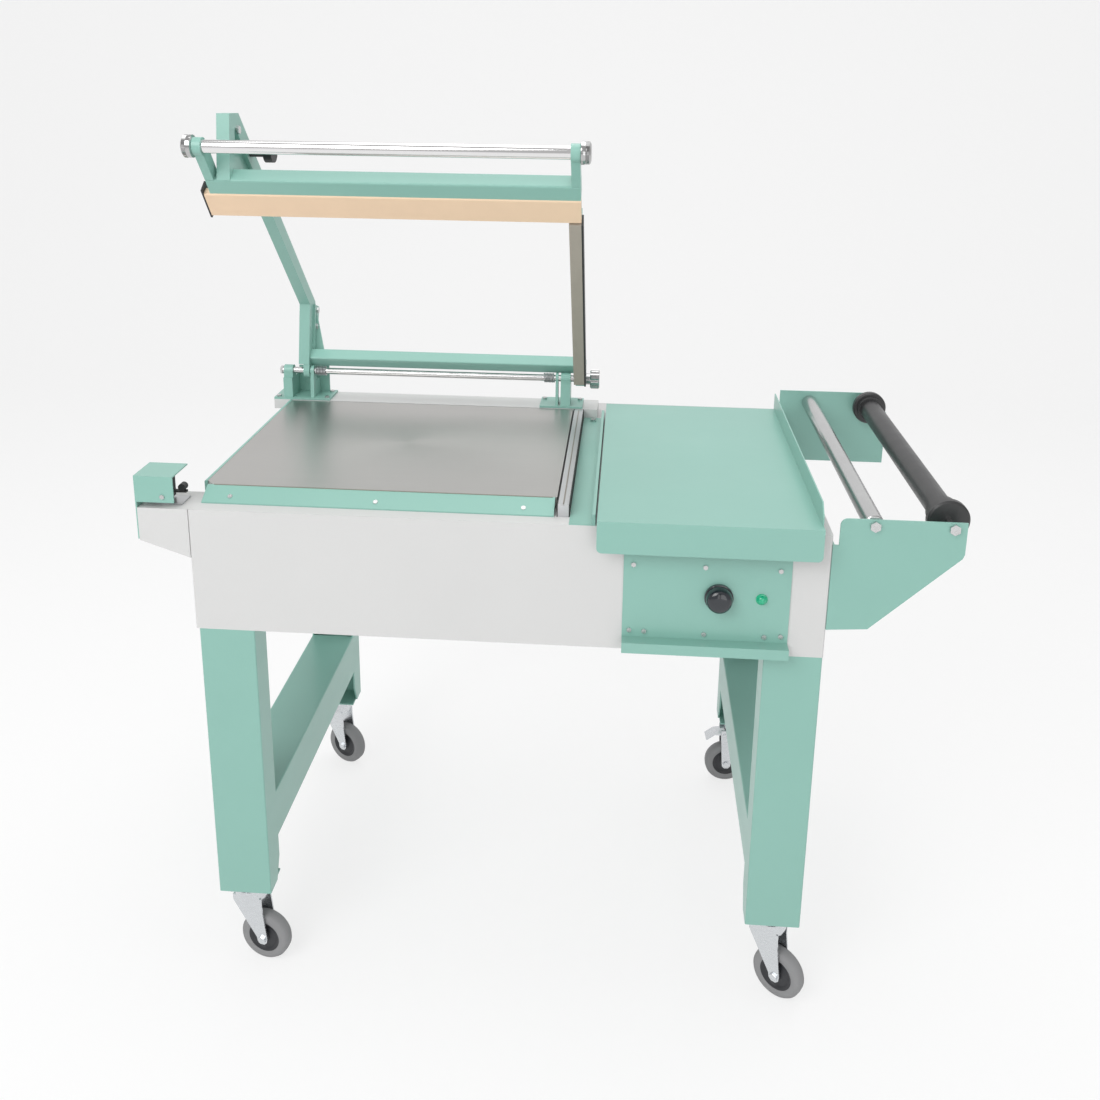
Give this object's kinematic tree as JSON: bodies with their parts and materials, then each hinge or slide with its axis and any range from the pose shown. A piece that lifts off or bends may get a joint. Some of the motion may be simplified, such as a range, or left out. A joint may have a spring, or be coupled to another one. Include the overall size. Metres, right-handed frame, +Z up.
{
  "type": "l bar sealer",
  "caption": "Wheeled film sealer with a raised L-shaped sealing arm, steel work table, film tray, control panel and side film rollers.",
  "frame": {"origin": "bottom centre of the whole machine's box, on the floor, with the arm raised", "axes": "+X to the operator's right towards the film rollers, +Y to the rear towards the arm's hinge, +Z up"},
  "size_m": [1.288, 0.679, 1.4465],
  "materials": {
    "green_paint": "semi-gloss fine powder coat",
    "grey_paint": "satin powder coat",
    "brushed_plate": "brushed lengthwise",
    "jaw_aluminium": "satin",
    "black_rubber": "matt",
    "seal_wire": "satin",
    "screw_steel": "satin",
    "lamp_lens": "gloss",
    "knob_black": "gloss",
    "black_plastic": "matt",
    "zinc_steel": "zinc plated",
    "bright_steel": "ground",
    "handle_chrome": "polished",
    "cap_chrome": "polished",
    "roller_black": "satin",
    "pad_beige": "matt silicone sponge",
    "pad_taupe": "matt silicone sponge",
    "caster_zinc": "bright zinc plated",
    "hub_plastic": "matt",
    "tyre_grey": "matt grey rubber"
  },
  "bodies": {
    "machine": {"cabinet_floor": "grey_paint", "cabinet_shell": "grey_paint", "caster_plates": "caster_zinc", "control_panel": "green_paint", "film_tray": "green_paint", "front_jaw": "green_paint", "front_legs": "green_paint", "front_supply_bracket": "green_paint", "jaw_gaskets": "black_rubber", "latch_hood": "green_paint", "left_end_box": "grey_paint", "left_hinge_tower": "green_paint", "lift_springs": "zinc_steel", "limit_switch": "black_plastic", "machine_screws": "screw_steel", "pilot_lamp": "lamp_lens", "rear_hinge_beam": "grey_paint", "rear_legs": "green_paint", "rear_supply_bracket": "green_paint", "right_hinge_tower": "green_paint", "roller_shafts": "bright_steel", "seal_wires": "seal_wire", "side_jaw": "jaw_aluminium", "side_table": "green_paint", "stretchers": "green_paint", "switch_bracket": "zinc_steel", "table_edge_trim": "green_paint", "timer_body": "black_plastic", "tray_rails": "green_paint", "work_plate": "brushed_plate"},
    "seal_arm": {"rear_cross_tube": "green_paint", "gooseneck_arm": "green_paint", "side_arm": "green_paint", "side_pad": "pad_taupe", "front_channel": "green_paint", "front_pad": "pad_beige", "pad_edging": "black_plastic", "handle_tube": "handle_chrome", "handle_caps": "cap_chrome", "hinge_shaft": "bright_steel", "shaft_knob": "cap_chrome", "arm_bolts": "screw_steel", "arm_stop": "black_plastic"},
    "control_knob": {"control_knob": "knob_black"},
    "guide_roller": {"guide_roller": "bright_steel"},
    "supply_roller": {"supply_sleeve": "roller_black", "supply_collars": "roller_black"},
    "front_left_swivel": {"front_left_fork": "caster_zinc"},
    "front_left_wheel": {"front_left_hub": "hub_plastic", "front_left_tyre": "tyre_grey"},
    "front_right_swivel": {"front_right_fork": "caster_zinc"},
    "front_right_wheel": {"front_right_hub": "hub_plastic", "front_right_tyre": "tyre_grey"},
    "rear_left_swivel": {"rear_left_fork": "caster_zinc"},
    "rear_left_wheel": {"rear_left_hub": "hub_plastic", "rear_left_tyre": "tyre_grey"},
    "rear_right_swivel": {"rear_right_fork": "caster_zinc"},
    "rear_right_wheel": {"rear_right_hub": "hub_plastic", "rear_right_tyre": "tyre_grey"},
    "rear_right_brake": {"rear_right_brake": "caster_zinc"}
  },
  "joints": [
    {"name": "arm_hinge", "type": "hinge", "parent": "machine", "child": "seal_arm", "pos_m": [-0.27, 0.2425, 0.929], "axis": [1, 0, 0], "range_deg": [0, 52], "stiffness_Nm_per_rad": 60, "springref_deg": -34.38},
    {"name": "knob_turn", "type": "hinge", "parent": "machine", "child": "control_knob", "pos_m": [0.263, -0.3205, 0.745], "axis": [0, -1, 0], "range_deg": [-270, 0]},
    {"name": "guide_spin", "type": "hinge", "parent": "machine", "child": "guide_roller", "pos_m": [0.4875, 0.0115, 0.87], "axis": [0, 1, 0], "continuous": true},
    {"name": "supply_spin", "type": "hinge", "parent": "machine", "child": "supply_roller", "pos_m": [0.603, 0.0115, 0.87], "axis": [0, 1, 0], "continuous": true},
    {"name": "front_left_swivel_turn", "type": "hinge", "parent": "machine", "child": "front_left_swivel", "pos_m": [-0.512, -0.2785, 0.13], "axis": [0, 0, 1], "continuous": true},
    {"name": "front_left_wheel_roll", "type": "hinge", "parent": "front_left_swivel", "child": "front_left_wheel", "pos_m": [-0.48852, -0.28349, 0.045], "axis": [0.2079, 0.9781, 0], "continuous": true},
    {"name": "front_right_swivel_turn", "type": "hinge", "parent": "machine", "child": "front_right_swivel", "pos_m": [0.382, -0.2785, 0.13], "axis": [0, 0, 1], "continuous": true},
    {"name": "front_right_wheel_roll", "type": "hinge", "parent": "front_right_swivel", "child": "front_right_wheel", "pos_m": [0.40142, -0.29261, 0.045], "axis": [0.5878, 0.809, 0], "continuous": true},
    {"name": "rear_left_swivel_turn", "type": "hinge", "parent": "machine", "child": "rear_left_swivel", "pos_m": [-0.512, 0.3025, 0.13], "axis": [0, 0, 1], "continuous": true},
    {"name": "rear_left_wheel_roll", "type": "hinge", "parent": "rear_left_swivel", "child": "rear_left_wheel", "pos_m": [-0.49062, 0.2916, 0.045], "axis": [0.454, 0.891, 0], "continuous": true},
    {"name": "rear_right_swivel_turn", "type": "hinge", "parent": "machine", "child": "rear_right_swivel", "pos_m": [0.382, 0.3025, 0.13], "axis": [0, 0, 1], "continuous": true},
    {"name": "rear_right_wheel_roll", "type": "hinge", "parent": "rear_right_swivel", "child": "rear_right_wheel", "pos_m": [0.35806, 0.30083, 0.045], "axis": [0.0698, -0.9976, 0], "continuous": true},
    {"name": "brake_press", "type": "hinge", "parent": "rear_right_swivel", "child": "rear_right_brake", "pos_m": [0.35108, 0.30034, 0.118], "axis": [0.0698, -0.9976, 0], "range_deg": [-18, 4]}
  ]
}
